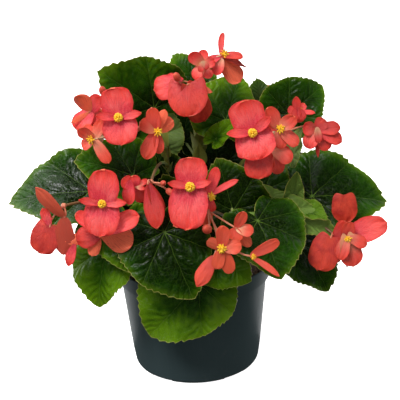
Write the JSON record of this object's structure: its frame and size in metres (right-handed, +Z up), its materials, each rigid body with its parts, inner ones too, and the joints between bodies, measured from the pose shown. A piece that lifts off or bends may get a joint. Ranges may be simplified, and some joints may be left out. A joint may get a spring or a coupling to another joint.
{
  "type": "potted begonia",
  "caption": "Flowering begonia in a round nursery pot: broad toothed leaves and sprays of coral blooms with yellow stamens above moist soil.",
  "frame": {"origin": "middle of the pot's base, on the surface it stands on", "axes": "+Z up the plant, -Y towards the viewer who sees the fullest side, +X to that viewer's right"},
  "size_m": [0.357, 0.3234, 0.3336],
  "materials": {
    "pot": "satin",
    "soil": "rough",
    "leaf": "glossy",
    "petal": "satin",
    "stamen": "matte"
  },
  "bodies": {
    "root": {"pot": "pot", "soil": "soil", "leafy_stem_1": "leaf", "flower_spray_d": "petal", "stamens_d1": "stamen", "flower_spray_e": "petal", "leafy_stem_2": "leaf", "flower_spray_a": "petal", "stamens_a1": "stamen", "stamens_a2": "stamen", "stamens_a4": "stamen", "flower_spray_f": "petal", "leafy_stem_3": "leaf", "flower_spray_b": "petal", "stamens_b3": "stamen", "stamens_b4": "stamen", "leafy_stem_4": "leaf", "flower_spray_c": "petal", "stamens_c1": "stamen", "stamens_c2": "stamen", "stamens_c5": "stamen", "leafy_stem_5": "leaf", "flower_spray_i": "petal", "stamens_i4": "stamen", "leafy_stem_6": "leaf", "flower_spray_h": "petal", "stamens_h1": "stamen", "leafy_stem_7": "leaf", "flower_spray_g": "petal", "stamens_g1": "stamen", "stamens_g2": "stamen", "leafy_stem_8": "leaf", "flower_spray_j": "petal", "stamens_j1": "stamen", "stamens_j2": "stamen", "leafy_stem_9": "leaf", "flower_spray_k": "petal", "stamens_k1": "stamen", "stamens_k2": "stamen", "leafy_stem_10": "leaf", "flower_spray_l": "petal", "stamens_l1": "stamen", "stamens_l2": "stamen"}
  },
  "joints": []
}
